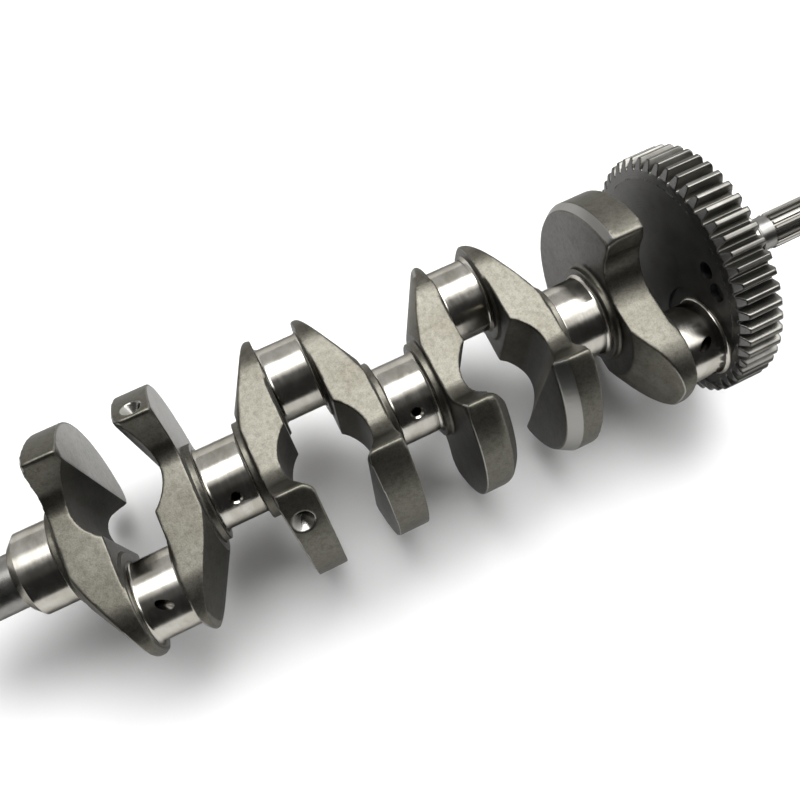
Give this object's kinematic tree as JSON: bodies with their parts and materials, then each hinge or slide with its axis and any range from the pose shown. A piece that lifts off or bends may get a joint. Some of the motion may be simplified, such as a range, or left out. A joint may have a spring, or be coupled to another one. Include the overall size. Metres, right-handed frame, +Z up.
{
  "type": "crankshaft",
  "caption": "Engine crankshaft with ground main journals and offset crankpins, forged webs with fan-shaped counterweights, a primary gear, a tapered nose and a splined tail.",
  "frame": {"origin": "centre of main journal 3, the middle main journal, on the main axis", "axes": "+X along the main axis from the nose towards the spline; crankpins 1 and 4 point to -Y, crankpins 2 and 3 to +Y; +Z is up with all crankpins level"},
  "size_m": [0.466, 0.1188, 0.1188],
  "materials": {
    "ground_journal": "ground and polished steel",
    "forged_web": "shot-blasted forged steel, satin",
    "turned_web": "fine-turned dark steel",
    "gear_teeth": "hobbed hardened steel, satin",
    "spline_teeth": "rolled spline, satin",
    "turned_end": "turned and ground steel"
  },
  "bodies": {
    "root": {"nose_shaft": "turned_end", "nose_taper": "turned_end", "main_journal_1": "ground_journal", "main_journal_2": "ground_journal", "main_journal_3": "ground_journal", "main_journal_4": "ground_journal", "main_journal_5": "ground_journal", "web_1": "forged_web", "web_2": "forged_web", "web_3": "forged_web", "web_4": "forged_web", "web_5": "forged_web", "web_6": "forged_web", "web_7": "forged_web", "web_8": "turned_web", "crankpin_1": "ground_journal", "crankpin_2": "ground_journal", "crankpin_3": "ground_journal", "crankpin_4": "ground_journal", "primary_gear": "gear_teeth", "tail_collar": "turned_end", "tail_spline": "spline_teeth"}
  },
  "joints": []
}
